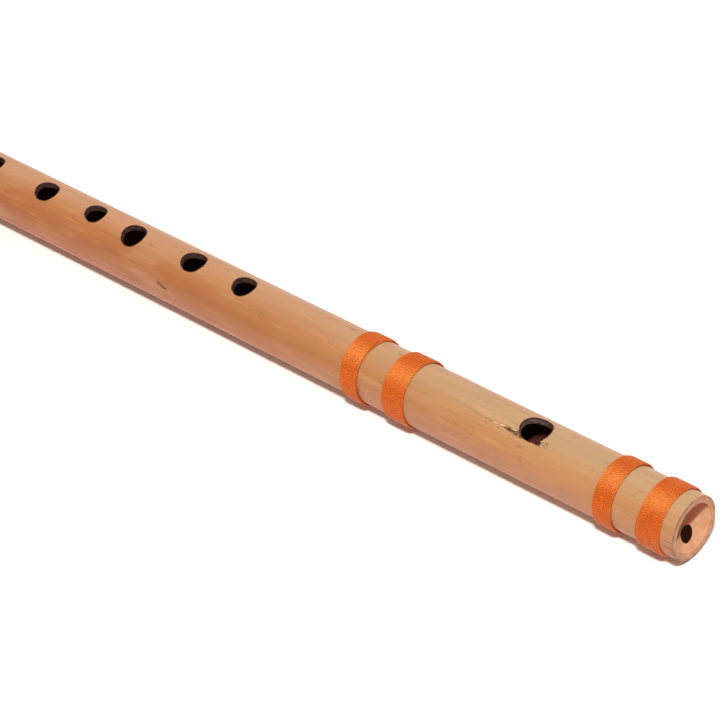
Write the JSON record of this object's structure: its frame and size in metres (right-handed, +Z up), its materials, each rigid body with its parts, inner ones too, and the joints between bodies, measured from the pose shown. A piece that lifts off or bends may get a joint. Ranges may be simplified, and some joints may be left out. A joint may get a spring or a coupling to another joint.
{
  "type": "bamboo flute",
  "caption": "Side-blown bamboo flute: a straight tube closed at the blowing end, with an oval blow hole, a row of finger holes, a cork inside and thread bindings.",
  "frame": {"origin": "on the table, under the middle of the tube's length; the thread bindings rest at z = 0", "axes": "+X along the bore towards the closed blowing end, +Z up through the finger holes, +Y across"},
  "size_m": [0.368, 0.0234, 0.0233],
  "materials": {
    "bamboo": "satin",
    "cork": "matte",
    "orange_thread": "satin"
  },
  "bodies": {
    "flute": {"bamboo_tube": "bamboo", "binding_head_outer": "orange_thread", "binding_head_inner": "orange_thread", "binding_middle_head_side": "orange_thread", "binding_middle_foot_side": "orange_thread", "binding_foot_inner": "orange_thread", "binding_foot_outer": "orange_thread"},
    "cork": {"cork_stopper": "cork"}
  },
  "joints": [
    {"name": "cork_slide", "type": "slide", "parent": "flute", "child": "cork", "axis": [1, 0, 0], "range_m": [-0.005, 0.005]}
  ]
}
